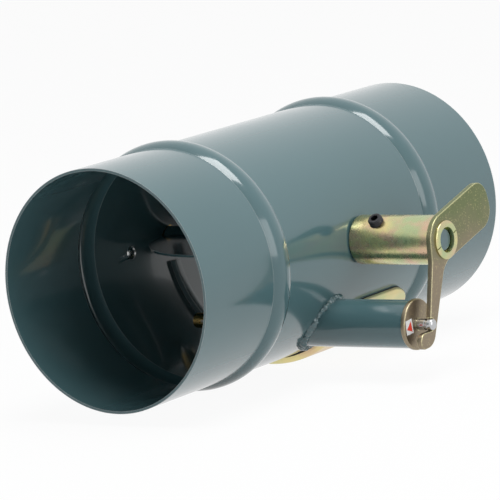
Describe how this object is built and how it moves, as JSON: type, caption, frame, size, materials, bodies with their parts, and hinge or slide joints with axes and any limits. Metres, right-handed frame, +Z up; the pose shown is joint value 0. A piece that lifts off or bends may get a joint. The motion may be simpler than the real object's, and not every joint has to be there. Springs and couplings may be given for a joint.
{
  "type": "inline duct damper",
  "caption": "Round duct damper with a spring-loaded blade, a lever held by a thermal fuse pin, and an access cover.",
  "frame": {"origin": "centre of the inlet end of the round casing", "axes": "+Y along the duct from inlet to outlet, +X to the handle, +Z up with the shaft level"},
  "size_m": [0.2412, 0.324, 0.1584],
  "materials": {
    "casing_paint": "glossy grey paint",
    "weld_metal": "painted weld bead",
    "yellow_plating": "yellow passivated zinc plating",
    "plated_steel": "bright zinc plating",
    "bright_steel": "turned steel",
    "spring_steel": "drawn spring wire",
    "black_steel": "black oxide",
    "bush_brass": "turned brass",
    "alloy": "cast low-melting alloy",
    "gasket_rubber": "matt rubber"
  },
  "bodies": {
    "casing": {"casing_tube": "casing_paint", "fuse_stub_tube": "casing_paint", "stub_weld": "weld_metal", "lower_stop_ring": "casing_paint", "upper_stop_ring": "casing_paint", "handle_side_bush": "bush_brass", "far_side_bush": "bush_brass", "spring_anchor_stud": "plated_steel", "torsion_spring": "spring_steel", "cover_gasket": "gasket_rubber", "access_cover": "yellow_plating", "cover_screws": "plated_steel", "cover_spacers": "plated_steel", "cover_weld_nuts": "plated_steel", "fuse_cap": "yellow_plating", "fuse_holder_tube": "bush_brass", "fuse_end_collar": "bush_brass", "fuse_alloy_ring": "alloy", "fuse_spring": "spring_steel"},
    "damper_rotor": {"damper_shaft": "casing_paint", "damper_blade": "casing_paint", "blade_screws": "plated_steel", "handle_sleeve": "yellow_plating", "lever_plate": "yellow_plating", "handle_set_screw": "black_steel", "spring_collar": "plated_steel", "collar_pin": "bright_steel", "retaining_ring": "spring_steel"},
    "fuse_plunger": {"fuse_rod": "bright_steel", "fuse_rod_collar": "bush_brass"}
  },
  "joints": [
    {"name": "damper_swing", "type": "hinge", "parent": "casing", "child": "damper_rotor", "pos_m": [0, 0.166, 0], "axis": [1, 0, 0], "range_deg": [-90, 0], "deforming": ["torsion_spring"]},
    {"name": "fuse_pin_slide", "type": "slide", "parent": "casing", "child": "fuse_plunger", "axis": [-1, 0, 0], "range_m": [0, 0.01], "deforming": ["fuse_spring", "fuse_alloy_ring"]}
  ]
}
